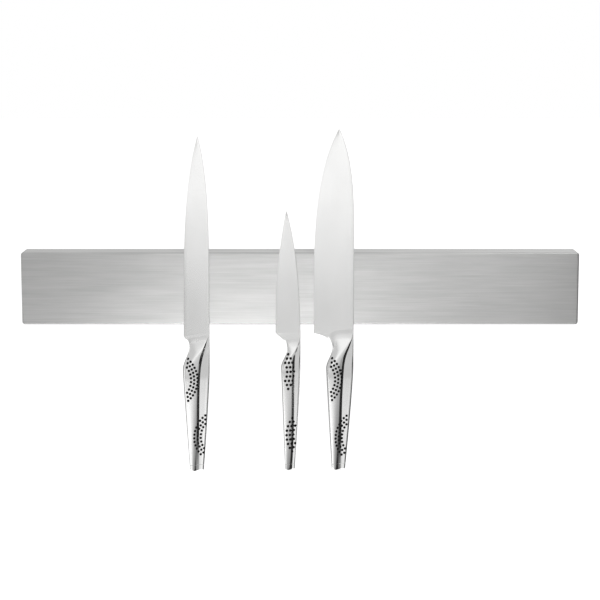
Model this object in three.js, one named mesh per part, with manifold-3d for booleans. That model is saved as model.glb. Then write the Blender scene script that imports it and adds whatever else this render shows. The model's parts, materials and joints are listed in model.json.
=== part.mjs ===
// Wall-mounted magnetic knife rack with three hollow-handled steel knives on it.
//
// Millimetres, +Z up. The origin is the centre of the rack's wall face: +Y goes into the wall,
// the knives hang on the face that looks along -Y, and X runs along the rack.

import * as THREE from 'three';
import { mergeVertices } from 'three/addons/utils/BufferGeometryUtils.js';
import Module from 'manifold-3d';

const wasm = await Module();
wasm.setup();

// ---------------------------------------------------------------- driving dimensions

const RACK = { length: 550, height: 72, depth: 30, corner: 3, bend: 2, sheet: 1 };
const GAP = 0.3; // between pieces that rest on each other
const FIT = 0.4; // between a moulding and the casing around it

const MAGNET = { length: 60, thickness: 8, rows: 2, rib: 6, pocketGap: 0.4 };
const IRON = { thickness: 2, overhang: { x: 6, z: 2 } }; // past the outermost magnets

const BACK_PLATE = 2.5; // its thickness
const STUD = { radius: 2, end: 1.6, holeGap: 0.35 };
const NUT = { acrossFlats: 7, thickness: 3.2, recess: 5.3, recessRadius: 5.5 };
const POST_RADIUS = 7.5;

const HANGER = { width: 34, height: 30, thickness: 1.2 };
const KEYHOLE = { entryRadius: 4.6, slotRadius: 2.4, entryZ: -4, slotZ: 5, windowRadius: 5.4 };
const RIVET = { x: 13, shank: 1.6, head: 2.8, headThickness: 0.9 };
const PAD = { inset: { x: 20, z: 12 }, radius: 7, thickness: 1.2 };

const TANG = { thickness: 1.6, length: 46, from: 0.28, to: 0.72 }; // from, to: shares of the neck
const SHELL_WALL = 1.3;
const CORE_GAP = 0.6; // between the shells and what fills them
const MOUTH_SKIN = 0.8; // least steel of the handle over the root of the blade
const CAP = { length: 7, plugLength: 5 };

// Each outline is in (u, v): u runs from the straight spine towards the cutting edge, and v is
// the height over the heel. A curve's four points are those of one cubic Bezier. The handle's
// crease is listed against the depth below the heel: where its valley lies, how wide the steep
// wall beside it is, and how high the valley and the wall's ridge stand over the middle plane.
const KNIVES = [
  {
    name: 'carving_knife', spineX: -89.5, heelZ: -47, spineThickness: 2, handleLength: 137,
    spineCurve: [[0, 60], [0, 115], [0.8, 160], [10.1, 197]],
    edgeStart: [25.7, 0],
    edgeCurve: [[24.8, 70], [24, 125], [19.7, 168], [10.7, 197]],
    heelCurve: [[25.7, 0], [24.5, -4.5], [20.2, -4], [20.2, -10]],
    neck: { u: 20.2, v: -11 }, palm: { u: 26.8, v: -34 }, butt: { spineU: 6.7, edgeU: 20.3 },
    bladeEnd: -4, lobe: 2.1, facetTilt: 10,
    valley: [[0, 0.8], [6, 2.7], [12, 4.3], [18, 5.9], [24, 7.4], [34, 8.9], [54, 10.1],
      [90, 10.8], [137, 11.5]],
    wall: [[0, 0.5], [8, 1.1], [14, 2.1], [20, 2.8], [28, 3.1], [50, 2.2], [90, 2.3], [137, 3]],
    ridge: [[0, 1.1], [4, 1.4], [8, 2.2], [14, 3.3], [20, 4.2], [27, 4.9], [34, 5.4], [44, 5.8],
      [137, 3.9]],
    facet: [[0, 1.05], [8, 1.15], [14, 1.4], [20, 1.8], [27, 2.5], [34, 3.1], [44, 3.6],
      [137, 2.3]],
  },
  {
    name: 'utility_knife', spineX: 0.5, heelZ: -44, spineThickness: 1.8, handleLength: 139,
    spineCurve: [[0, 0], [0.9, 40], [3.3, 85], [13.7, 121.5]],
    edgeStart: [24.8, 0],
    edgeCurve: [[24.5, 25], [24.1, 60], [19.8, 92], [14.3, 121.5]],
    heelCurve: [[24.8, 0], [20, -5.5], [13.6, -6.5], [13.4, -15]],
    neck: { u: 13.4, v: -17 }, palm: { u: 19.3, v: -34 }, butt: { spineU: 5.8, edgeU: 15.4 },
    bladeEnd: -7, lobe: 1.4, facetTilt: 8,
    valley: [[0, 0.2], [10, 1.2], [15, 2.8], [19, 4], [23, 5.2], [28, 5.7], [50, 6.1], [80, 6.4],
      [110, 7], [139, 8.5]],
    wall: [[0, 0.2], [12, 0.7], [17, 1.8], [22, 2.4], [30, 2.5], [50, 2.3], [90, 2], [139, 2.5]],
    ridge: [[0, 0.95], [7, 1.15], [12, 1.6], [17, 2.3], [23, 3.3], [30, 4.3], [40, 5], [139, 3.5]],
    facet: [[0, 0.92], [12, 1], [17, 1.3], [23, 1.8], [30, 2.4], [40, 2.8], [139, 1.9]],
  },
  {
    name: 'chef_knife', spineX: 53, heelZ: -44.5, spineThickness: 2.2, handleLength: 138,
    spineCurve: [[0, 100], [0, 140], [1.6, 175], [14.4, 201.5]],
    edgeStart: [39.4, 0],
    edgeCurve: [[39.4, 60], [39, 125], [32.5, 171], [15.2, 201.5]],
    heelCurve: [[39.4, 0], [30, -1.2], [22, -4], [20.8, -15]],
    neck: { u: 20.8, v: -14 }, palm: { u: 27.3, v: -35 }, butt: { spineU: 8, edgeU: 21.3 },
    bladeEnd: -5, lobe: 2.2, facetTilt: 9.5,
    valley: [[0, 0.2], [4, 1], [8, 2.2], [14, 4.2], [20, 6.5], [26, 8.2], [34, 9.4], [50, 10.4],
      [70, 11.2], [110, 11.8], [138, 12.3]],
    wall: [[0, 0.5], [8, 1.6], [14, 2.4], [22, 2.8], [30, 3.2], [50, 2.5], [90, 2.7], [138, 3.2]],
    ridge: [[0, 1.15], [5, 1.6], [9, 2.4], [15, 3.4], [21, 4.2], [28, 4.9], [35, 5.4], [45, 5.8],
      [138, 3.9]],
    facet: [[0, 1.12], [9, 1.2], [15, 1.5], [21, 1.9], [28, 2.5], [35, 3.1], [45, 3.5], [138, 2.2]],
  },
];
const SPINE_DROP = { start: 35, power: 1.25 }; // where the back of the handle leaves the spine line

// ---------------------------------------------------------------- materials

const material = (color, roughness, metalness) =>
  new THREE.MeshStandardMaterial({ color, roughness, metalness });

const BRUSHED_STEEL = material(0xb4b4b4, 0.35, 1);
const BLADE_STEEL = material(0xdedede, 0.3, 1);
const HANDLE_STEEL = material(0xd2d2d2, 0.12, 1);
const ZINC_STEEL = material(0x9c9d9e, 0.4, 1);
const FERRITE = material(0x2c2c2e, 0.7, 0);
const PALE_PLASTIC = material(0xd9d8d2, 0.6, 0);
const BLACK_PLASTIC = material(0x1d1e1f, 0.6, 0);
const RUBBER = material(0x38393a, 0.9, 0);
const SAND = material(0xb9a988, 0.95, 0);

// ---------------------------------------------------------------- solids and booleans

// A closed three.js geometry as a manifold-3d solid.
function solid(geometry) {
  const bare = geometry.index ? geometry.toNonIndexed() : geometry.clone();
  bare.deleteAttribute('normal');
  bare.deleteAttribute('uv');
  const merged = mergeVertices(bare, 1e-4);
  return new wasm.Manifold(new wasm.Mesh({
    numProp: 3,
    vertProperties: merged.attributes.position.array,
    triVerts: new Uint32Array(merged.index.array),
  }));
}

function geometryOf(body) {
  const mesh = body.getMesh();
  const geometry = new THREE.BufferGeometry();
  geometry.setAttribute('position', new THREE.BufferAttribute(mesh.vertProperties, 3));
  geometry.setIndex(new THREE.BufferAttribute(mesh.triVerts, 1));
  geometry.computeVertexNormals();
  return geometry;
}

const cut = (body, ...tools) => tools.reduce((left, tool) => left.subtract(tool), body);
const join = (body, ...others) => others.reduce((sum, other) => sum.add(other), body);

// A box between two corners.
function box([x0, y0, z0], [x1, y1, z1]) {
  const geometry = new THREE.BoxGeometry(x1 - x0, y1 - y0, z1 - z0);
  return solid(geometry.translate((x0 + x1) / 2, (y0 + y1) / 2, (z0 + z1) / 2));
}

// A round bar along Y, centred on (x, z).
function bar(radius, x, z, y0, y1, sides = 20) {
  const geometry = new THREE.CylinderGeometry(radius, radius, y1 - y0, sides);
  return solid(geometry.translate(x, (y0 + y1) / 2, z));
}

// A vertical slot along Y with round ends at z0 and z1.
function slot(radius, x, z0, z1, y0, y1) {
  return join(bar(radius, x, z0, y0, y1), bar(radius, x, z1, y0, y1),
    box([x - radius, y0, z0], [x + radius, y1, z1]));
}

function roundedRectangle(length, height, radius) {
  const [x, z] = [length / 2, height / 2];
  const shape = new THREE.Shape();
  shape.moveTo(-x + radius, -z);
  shape.absarc(x - radius, -z + radius, radius, -Math.PI / 2, 0, false);
  shape.absarc(x - radius, z - radius, radius, 0, Math.PI / 2, false);
  shape.absarc(-x + radius, z - radius, radius, Math.PI / 2, Math.PI, false);
  shape.absarc(-x + radius, -z + radius, radius, Math.PI, Math.PI * 1.5, false);
  return shape;
}

// A slab with rounded upright corners, from y = back forward to y = front.
function slab(length, height, radius, back, front) {
  const shape = roundedRectangle(length, height, radius);
  const geometry = new THREE.ExtrudeGeometry(shape,
    { depth: back - front, bevelEnabled: false, curveSegments: 3 });
  return solid(geometry.rotateX(Math.PI / 2).translate(0, back, 0));
}

// The same slab with its front edges rolled over by bend. Its back lies behind y = back.
function rolledSlab(length, height, radius, back, front, bend) {
  const geometry = new THREE.ExtrudeGeometry(roundedRectangle(length, height, radius), {
    depth: back - front - bend, curveSegments: 3,
    bevelThickness: bend, bevelSize: bend, bevelOffset: -bend, bevelSegments: 3,
  });
  return solid(geometry.rotateX(Math.PI / 2).translate(0, back, 0));
}

// A closed skin through sections that hold the same number of [x, y] points, each at its own z.
// The sections run anticlockwise seen from above, and z falls from one section to the next.
function loft(sections) {
  const count = sections[0].points.length;
  const positions = [];
  const at = (s, i) => {
    const [x, y] = sections[s].points[i % count];
    return [x, y, sections[s].z];
  };
  for (let s = 0; s + 1 < sections.length; s++) {
    for (let i = 0; i < count; i++) {
      positions.push(...at(s, i), ...at(s + 1, i), ...at(s + 1, i + 1));
      positions.push(...at(s, i), ...at(s + 1, i + 1), ...at(s, i + 1));
    }
  }
  const cap = (s, upward) => {
    const outline = sections[s].points.map(([x, y]) => new THREE.Vector2(x, y));
    for (const [a, b, c] of THREE.ShapeUtils.triangulateShape(outline, [])) {
      positions.push(...at(s, a), ...(upward ? at(s, b) : at(s, c)), ...(upward ? at(s, c) : at(s, b)));
    }
  };
  cap(0, true);
  cap(sections.length - 1, false);
  const geometry = new THREE.BufferGeometry();
  geometry.setAttribute('position', new THREE.Float32BufferAttribute(positions, 3));
  return solid(geometry);
}

// ---------------------------------------------------------------- rack

const rackFront = -RACK.depth;
const coverInside = rackFront + RACK.sheet;
const magnetFront = coverInside + GAP;
const magnetBack = magnetFront + MAGNET.thickness;
const ironFront = magnetBack + GAP;
const ironBack = ironFront + IRON.thickness;
const postFront = ironBack + GAP;
const nutBack = -(NUT.recess - GAP - NUT.thickness);
const studHole = STUD.radius + STUD.holeGap;

// As many columns of magnets as the flat of the cover holds, and rows as high as it allows.
const flat = { x: RACK.length - 2 * RACK.bend, z: RACK.height - 2 * RACK.bend };
const pitchX = MAGNET.length + MAGNET.rib;
const columns = Math.floor((flat.x - MAGNET.rib) / pitchX);
const pitchZ = (flat.z - MAGNET.rib) / MAGNET.rows;
const magnetHeight = pitchZ - MAGNET.rib;
const columnX = (column) => (column - (columns - 1) / 2) * pitchX;
const rowZ = (row) => (row - (MAGNET.rows - 1) / 2) * pitchZ;

// The studs stand where the grid's ribs cross, and each keyhole halfway between two of them.
const innerRib = Math.round(columns * 0.375);
const studX = [1, innerRib, columns - innerRib, columns - 1].map((rib) => (rib - columns / 2) * pitchX);
const hangerX = studX[3] - pitchX / 2;
const padX = RACK.length / 2 - PAD.inset.x;
const padZ = RACK.height / 2 - PAD.inset.z;

// Pressed pan: a face with four walls folded back from it, open towards the wall.
function frontCover() {
  const { length, height, corner, bend, sheet } = RACK;
  const outer = rolledSlab(length, height, corner, 0, rackFront, bend);
  const inner = rolledSlab(length - 2 * sheet, height - 2 * sheet, corner - sheet,
    bend, coverInside, bend - sheet);
  const behindWall = box([-length, 0, -height], [length, 3 * bend, height]);
  return cut(outer, behindWall, inner);
}

// Moulded grid with one through pocket for each magnet, and a hole for each stud. It lies within
// the flat of the cover's face, clear of the bends.
function magnetFrame() {
  const grid = slab(flat.x, flat.z, RACK.corner - RACK.sheet, magnetBack, magnetFront);
  const tools = studX.map((x) => bar(studHole, x, 0, magnetFront - 1, magnetBack + 1));
  const halfX = MAGNET.length / 2 + MAGNET.pocketGap;
  const halfZ = magnetHeight / 2 + MAGNET.pocketGap;
  for (let row = 0; row < MAGNET.rows; row++) {
    for (let column = 0; column < columns; column++) {
      const [x, z] = [columnX(column), rowZ(row)];
      tools.push(box([x - halfX, magnetFront - 1, z - halfZ], [x + halfX, magnetBack + 1, z + halfZ]));
    }
  }
  return cut(grid, ...tools);
}

function magnet() {
  return box([-MAGNET.length / 2, magnetFront, -magnetHeight / 2],
    [MAGNET.length / 2, magnetBack, magnetHeight / 2]);
}

// Steel strip that closes the magnetic circuit behind both rows.
function backIron() {
  const holes = studX.map((x) => bar(studHole, x, 0, ironFront - 1, ironBack + 1));
  const halfX = columnX(columns - 1) + MAGNET.length / 2 + IRON.overhang.x;
  const halfZ = rowZ(MAGNET.rows - 1) + magnetHeight / 2 + IRON.overhang.z;
  return cut(box([-halfX, ironFront, -halfZ], [halfX, ironBack, halfZ]), ...holes);
}

const weldStud = (x) => bar(STUD.radius, x, 0, coverInside, -STUD.end, 16);

function studNut(x) {
  const hexagon = bar(NUT.acrossFlats / Math.sqrt(3), x, 0, nutBack - NUT.thickness, nutBack, 6);
  return cut(hexagon, bar(studHole, x, 0, nutBack - NUT.thickness - 1, nutBack + 1, 16));
}

// Rear moulding: a plate with four posts, a window over each keyhole, and a seat for each pad.
function backPlate() {
  const { radius, thickness } = PAD;
  const posts = studX.map((x) => bar(POST_RADIUS, x, 0, postFront, -BACK_PLATE / 2));
  const tools = studX.flatMap((x) => [
    bar(studHole, x, 0, postFront - 1, 1),
    bar(NUT.recessRadius, x, 0, -NUT.recess, 1),
  ]);
  for (const side of [-1, 1]) {
    const x = side * hangerX;
    tools.push(slot(KEYHOLE.windowRadius, x, KEYHOLE.entryZ, KEYHOLE.slotZ, -BACK_PLATE - 1, 1));
    for (const end of [-1, 1]) {
      tools.push(bar(RIVET.shank + GAP, x + end * RIVET.x, 0, -BACK_PLATE - 1, 1, 14));
      tools.push(bar(RIVET.head + GAP, x + end * RIVET.x, 0, -RIVET.headThickness - GAP, 1, 14));
      tools.push(bar(radius + GAP, side * padX, end * padZ, -thickness - GAP, 1, 24));
    }
  }
  const margin = 2 * (RACK.sheet + FIT);
  const plate = slab(RACK.length - margin, RACK.height - margin, RACK.corner - RACK.sheet, 0, -BACK_PLATE);
  return cut(join(plate, ...posts), ...tools);
}

const hangerBack = -BACK_PLATE - GAP;
const hangerFront = hangerBack - HANGER.thickness;

// Steel plate whose keyhole drops over a screw head in the wall.
function hangerPlate(x) {
  const plate = box([x - HANGER.width / 2, hangerFront, -HANGER.height / 2],
    [x + HANGER.width / 2, hangerBack, HANGER.height / 2]);
  const [y0, y1] = [hangerFront - 1, hangerBack + 1];
  const rivetHoles = [-1, 1].map((end) => bar(RIVET.shank + GAP, x + end * RIVET.x, 0, y0, y1, 14));
  return cut(plate, bar(KEYHOLE.entryRadius, x, KEYHOLE.entryZ, y0, y1),
    slot(KEYHOLE.slotRadius, x, KEYHOLE.entryZ, KEYHOLE.slotZ, y0, y1), ...rivetHoles);
}

// Rivet turned about Y: a flush head in the moulding and a set head on the hanger plate.
function hangerRivet(x) {
  const { shank, head, headThickness } = RIVET;
  const setHead = hangerFront - GAP;
  const profile = [
    [0, setHead - headThickness], [head, setHead - headThickness], [head, setHead], [shank, setHead],
    [shank, -headThickness], [head, -headThickness], [head, 0], [0, 0],
  ].map(([r, y]) => new THREE.Vector2(r, y));
  return solid(new THREE.LatheGeometry(profile, 14).translate(x, 0, 0));
}

const wallPad = (x, z) => bar(PAD.radius, x, z, -PAD.thickness, 0, 24);

// ---------------------------------------------------------------- knives

const bladeRear = rackFront - GAP; // the rear flank of each blade lies on the rack's face

const bezier = (points) =>
  new THREE.CubicBezierCurve(...points.map(([u, v]) => new THREE.Vector2(u, v)));

// u on a cubic curve at height v, by bisection. Height runs one way along every curve here.
function uAt(points, v) {
  const curve = bezier(points);
  const rising = points[3][1] > points[0][1];
  let [low, high] = [0, 1];
  for (let step = 0; step < 30; step++) {
    const middle = (low + high) / 2;
    if ((curve.getPoint(middle).y < v) === rising) low = middle;
    else high = middle;
  }
  return curve.getPoint(low).x;
}

// Spine and cutting edge of the blade at height v.
function bladeSpan(knife, v) {
  const spine = v > knife.spineCurve[0][1] ? uAt(knife.spineCurve, v) : 0;
  const [edgeStart, edgeCurve] = [knife.edgeStart, knife.edgeCurve];
  if (v > edgeCurve[0][1]) return [spine, uAt(edgeCurve, v)];
  if (v < 0) return [spine, v > knife.heelCurve[3][1] ? uAt(knife.heelCurve, v) : knife.neck.u];
  const share = v / edgeCurve[0][1];
  return [spine, edgeStart[0] + share * (edgeCurve[0][0] - edgeStart[0])];
}

const EDGE = { bevel: 1.3, shoulder: 0.5 }; // the ground edge, and the thickness where it starts

// Tapered blade, flat at the rear, down to its root inside the mouth of the handle.
function blade(knife) {
  const tip = knife.edgeCurve[3][1];
  const heights = [tip, tip - 0.8, tip - 2.5, tip - 6];
  for (let v = tip - 12; v > 8; v -= tip / 18) heights.push(v);
  heights.push(3, 0.4, 0, -1, -2.2, knife.bladeEnd);
  const sections = heights.map((v) => {
    const [spine, edge] = bladeSpan(knife, v);
    const width = edge - spine;
    const thickness = knife.spineThickness * (1 - 0.45 * Math.max(v, 0) / tip);
    const ground = v >= 0 ? 1 : 0;
    const bevel = Math.min(EDGE.bevel, width * 0.3);
    const shoulder = ground ? Math.min(EDGE.shoulder, thickness * 0.6) : thickness * 0.5;
    const points = [
      [-spine, 0], [-spine, -thickness], [bevel - edge, -shoulder],
      [-edge, -shoulder / 2], [bevel - edge, 0],
    ];
    return { z: v, points: points.reverse() };
  });
  return join(loft(sections), tangBox(knife, 0, knife.bladeEnd + 0.5));
}

// The tang below the blade, grown by margin all round.
function tangBox(knife, margin, top) {
  const middle = -knife.spineThickness / 2;
  const half = TANG.thickness / 2 + margin;
  const [near, far] = [TANG.from * knife.neck.u - margin, TANG.to * knife.neck.u + margin];
  return box([-far, middle - half, knife.bladeEnd - TANG.length - margin], [-near, middle + half, top]);
}

const smooth = (low, high, x) => THREE.MathUtils.smoothstep(x, low, high);

// The handle's outline at depth d below the heel.
function handleSpan(knife, d) {
  const { neck, palm, butt, handleLength } = knife;
  const taper = Math.max(0, (d + palm.v) / (handleLength + palm.v));
  const drop = Math.max(0, d - SPINE_DROP.start) / (handleLength - SPINE_DROP.start);
  const spine = butt.spineU * Math.pow(drop, SPINE_DROP.power);
  let edge = palm.u - (palm.u - butt.edgeU) * Math.pow(taper, 1.1);
  if (d < -palm.v) edge = neck.u + (palm.u - neck.u) * smooth(-neck.v, -palm.v, d);
  if (d < -neck.v) edge = bladeSpan(knife, -d)[1];
  return { spine, edge };
}

// The value of a table of [depth, value] rows at depth d.
function along(table, d) {
  const next = Math.max(1, table.findIndex(([depth]) => depth >= d));
  const [[d0, low], [d1, high]] = [table[next - 1], table[next]];
  return low + (high - low) * THREE.MathUtils.clamp((d - d0) / (d1 - d0), 0, 1);
}

// The form of the handle at depth d: a facet rises from the spine to the valley of the crease, a
// steep wall stands on the valley, and from its ridge the lobe rises to a crest.
function handleForm(knife, d) {
  const { spine, edge } = handleSpan(knife, d);
  const top = -knife.bladeEnd;
  const valley = Math.max(along(knife.valley, d), spine + 0.03 * (edge - spine));
  const foot = valley + along(knife.wall, d);
  const least = knife.spineThickness / 2 + MOUTH_SKIN * (1 - smooth(0, 14, d - top));
  const low = Math.max(along(knife.facet, d), least);
  const ridge = Math.max(along(knife.ridge, d), least + 0.1);
  const crest = foot + (edge - foot) * (0.12 + 0.7 * smooth(top + 6, 40, d));
  const high = ridge + 0.08 + knife.lobe * smooth(top + 6, 42, d);
  return { spine, edge, valley, foot, low, ridge, crest, high };
}

// Half a handle section as [u, height over the middle plane], spine to edge.
function halfSection(knife, d, inset) {
  const { spine, edge, valley, foot, low, ridge, crest, high } = handleForm(knife, d);
  const corner = Math.min(0.4 + 2.2 * smooth(-knife.bladeEnd, 30, d), 0.45 * (valley - spine));
  const slope = Math.tan(knife.facetTilt * Math.PI / 180) * smooth(-knife.bladeEnd, 24, d);
  const bank = Math.max(low - (valley - spine - corner) * slope, 0.5 * low);
  const reach = edge - crest;
  const outline = [
    [spine, 0], [spine, 0.4 * bank], [spine + 0.3 * corner, 0.8 * bank], [spine + corner, bank],
    [valley, low], [foot, ridge], [foot + 0.35 * (crest - foot), ridge + 0.58 * (high - ridge)],
    [crest, high], [crest + 0.45 * reach, 0.9 * high], [crest + 0.8 * reach, 0.62 * high],
    [edge, 0.2 * high],
  ];
  const squash = (edge - spine - 2 * inset) / (edge - spine);
  return outline.map(([u, height]) => [
    spine + inset + (u - spine) * squash,
    Math.max(height - inset, height > 0 ? 0.15 * height : 0),
  ]);
}

// Half a section of what fills the hollow under the lobe, clear of the shells all round.
function halfCore(knife, d) {
  const inset = SHELL_WALL + CORE_GAP;
  const { edge, valley, foot, low, ridge, crest, high } = handleForm(knife, d);
  const outer = edge - inset;
  return [
    [valley + inset, 0], [valley + inset, low - inset], [foot + inset, ridge - inset],
    [Math.min(crest, outer - 1), high - inset], [outer, 0.5 * (high - inset)],
  ];
}

// Whole section about the blade's middle plane, from its front half.
function section(knife, d, front) {
  const rear = front.slice(1).reverse();
  const middle = -knife.spineThickness / 2;
  const points = [
    ...front.map(([u, h]) => [-u, middle - h]),
    ...rear.map(([u, h]) => [-u, middle + h]),
  ];
  return { z: -d, points: points.reverse() };
}

const handleSection = (knife, d, inset) => section(knife, d, halfSection(knife, d, inset));
const coreSection = (knife, d) => section(knife, d, halfCore(knife, d));

const range = (from, to, count) =>
  Array.from({ length: count }, (_, i) => from + (to - from) * i / (count - 1));

// Front and rear shells: the outer form, hollowed, slotted for the tang and parted down the middle.
function handleShells(knife) {
  const top = -knife.bladeEnd + GAP;
  const bottom = knife.handleLength - CAP.length - GAP;
  const outer = loft([...range(top, 44, 12), ...range(56, bottom, 7)]
    .map((d) => handleSection(knife, d, 0)));
  const hollow = loft(range(26, bottom + 1, 7).map((d) => handleSection(knife, d, SHELL_WALL)));
  const whole = cut(outer, hollow, tangBox(knife, GAP, 0));
  const middle = -knife.spineThickness / 2;
  const size = knife.handleLength * 2;
  return {
    front: cut(whole, box([-size, middle, -size], [size, size, size])),
    rear: cut(whole, box([-size, -size, -size], [size, middle, size])),
  };
}

// Butt cap with a domed end and a plug that enters the shells.
function buttCap(knife) {
  const end = knife.handleLength;
  const dome = [[end - CAP.length, 0], [end - 2.4, 0], [end - 0.9, 0.5], [end - 0.2, 1.3], [end, 2.4]];
  const plugTop = end - CAP.length - CAP.plugLength;
  const plug = loft([plugTop, end - CAP.length + 0.5].map((d) => coreSection(knife, d)));
  return join(loft(dome.map(([d, inset]) => handleSection(knife, d, inset))), plug);
}

// Balancing fill in the hollow between the tang and the butt cap.
function ballast(knife) {
  const top = -knife.bladeEnd + TANG.length + 2 * GAP;
  const bottom = knife.handleLength - CAP.length - CAP.plugLength - GAP;
  return loft(range(top, bottom, 5).map((d) => coreSection(knife, d)));
}

// ---------------------------------------------------------------- assembly

const rack = new THREE.Group();

function add(parent, name, body, look) {
  const mesh = new THREE.Mesh(geometryOf(body), look);
  mesh.name = name;
  parent.add(mesh);
  return mesh;
}

add(rack, 'front_cover', frontCover(), BRUSHED_STEEL);
add(rack, 'magnet_frame', magnetFrame(), PALE_PLASTIC);
add(rack, 'back_iron', backIron(), ZINC_STEEL);
add(rack, 'back_plate', backPlate(), BLACK_PLASTIC);

for (let row = 0; row < MAGNET.rows; row++) {
  for (let column = 0; column < columns; column++) {
    const name = `magnet_${row ? 'upper' : 'lower'}_${column + 1}`;
    add(rack, name, magnet(), FERRITE).position.set(columnX(column), 0, rowZ(row));
  }
}

studX.forEach((x, index) => {
  add(rack, `weld_stud_${index + 1}`, weldStud(x), ZINC_STEEL);
  add(rack, `stud_nut_${index + 1}`, studNut(x), ZINC_STEEL);
});

for (const [side, word] of [[-1, 'left'], [1, 'right']]) {
  add(rack, `hanger_plate_${word}`, hangerPlate(side * hangerX), ZINC_STEEL);
  for (const [end, place] of [[-1, 'inner'], [1, 'outer']]) {
    const x = side * (hangerX + end * RIVET.x);
    add(rack, `hanger_rivet_${word}_${place}`, hangerRivet(x), ZINC_STEEL);
  }
  for (const [end, place] of [[-1, 'lower'], [1, 'upper']]) {
    add(rack, `wall_pad_${word}_${place}`, wallPad(side * padX, end * padZ), RUBBER);
  }
}

for (const knife of KNIVES) {
  const group = new THREE.Group();
  group.position.set(knife.spineX, bladeRear, knife.heelZ);
  rack.add(group);
  const shells = handleShells(knife);
  add(group, `${knife.name}_blade`, blade(knife), BLADE_STEEL);
  add(group, `${knife.name}_handle_front`, shells.front, HANDLE_STEEL);
  add(group, `${knife.name}_handle_rear`, shells.rear, HANDLE_STEEL);
  add(group, `${knife.name}_butt_cap`, buttCap(knife), HANDLE_STEEL);
  add(group, `${knife.name}_ballast`, ballast(knife), SAND);
}

export default rack;
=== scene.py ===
"""Studio scene of a wall-mounted magnetic knife rack with three steel knives on it.

Metres, +Z up, origin at the centre of the rack's wall face. The knives hang on the face
towards -Y. A knife's outline is drawn in (u, v) millimetres: u runs from its straight spine
towards the cutting edge, v is the height over its heel.
"""
import json
import math

import bmesh
import bpy
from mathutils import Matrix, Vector


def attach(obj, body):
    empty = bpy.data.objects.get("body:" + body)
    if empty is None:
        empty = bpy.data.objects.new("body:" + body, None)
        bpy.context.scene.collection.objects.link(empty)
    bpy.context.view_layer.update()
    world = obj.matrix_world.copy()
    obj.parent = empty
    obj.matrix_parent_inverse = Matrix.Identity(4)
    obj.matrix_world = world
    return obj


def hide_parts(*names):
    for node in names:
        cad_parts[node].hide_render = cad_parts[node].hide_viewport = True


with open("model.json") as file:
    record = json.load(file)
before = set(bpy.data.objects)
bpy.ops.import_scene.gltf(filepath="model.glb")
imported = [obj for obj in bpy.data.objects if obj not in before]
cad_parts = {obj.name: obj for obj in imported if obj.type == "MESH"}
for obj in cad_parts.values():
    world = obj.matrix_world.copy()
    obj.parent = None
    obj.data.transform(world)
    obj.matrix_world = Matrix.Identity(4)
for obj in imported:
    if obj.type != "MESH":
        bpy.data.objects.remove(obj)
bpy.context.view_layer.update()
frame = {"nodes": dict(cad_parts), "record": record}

MM = 0.001

# ---------------------------------------------------------------- dimensions, in millimetres

RACK = {"length": 550, "height": 72, "depth": 30, "corner": 3, "bend": 2, "sheet": 1}
GAP = 0.3
BLADE_REAR = -RACK["depth"] - GAP
SPINE_DROP = {"start": 35, "power": 1.25}
PALM_TAPER = 1.1
EDGE_BEVEL = {"width": 1.3, "shoulder": 0.5, "edge": 0.12}
SPINE_ROUND = 0.35
BLADE_THINS_TO_TIP = 0.45
FLANK_SWELL = {"share": 0.06, "full_at": 60}
HEEL_FADE = 0.8
TANG = {"thickness": 1.6, "length": 46, "from": 0.28, "to": 0.72}
CAP_LENGTH = 7
CAP_SEAM = 0.12
CAP_ROLL = 2.6

# The handle's section starts flat at the mouth, and each feature is full at its own depth.
MOUTH_FADE = 20
WEDGE_FADE = 14
LOBE_STARTS = 6
FULL_AT = {"lobe": 42, "corner": 30, "tilt": 24, "crest": 40}
LOBE_LEAST = 0.08
SPINE_CORNER = {"mouth": 0.4, "growth": 2.2, "most": 0.45}
FACET_LEAST = 0.5
CREST_PLACE = {"mouth": 0.12, "travel": 0.7}
ROLL_OVER = {"power": 2, "boxiness": 8, "crowding": 2.2}
PIECES = {"corner": 7, "facet": 5, "wall": 3, "lobe": 14, "roll_over": 20}
DIMPLE_SHAPE = {"sink": 0.9, "stand": 1.2, "sides": 20, "slope_reach": 0.5, "slope_limit": 0.8}

# A knife's outline has three cubic curves in (u, v): spine, edge and heel. The handle's section at
# a depth below the heel comes from (depth, size) tables: where the crease's valley lies, how wide
# its wall is, and how high the ridge and the facet are over the middle plane. The mouth is the
# border between blade and handle, as (share of the width from the spine, height). The dimples lie
# on arcs, each a radius, a first and a last angle, and a count.

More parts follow.
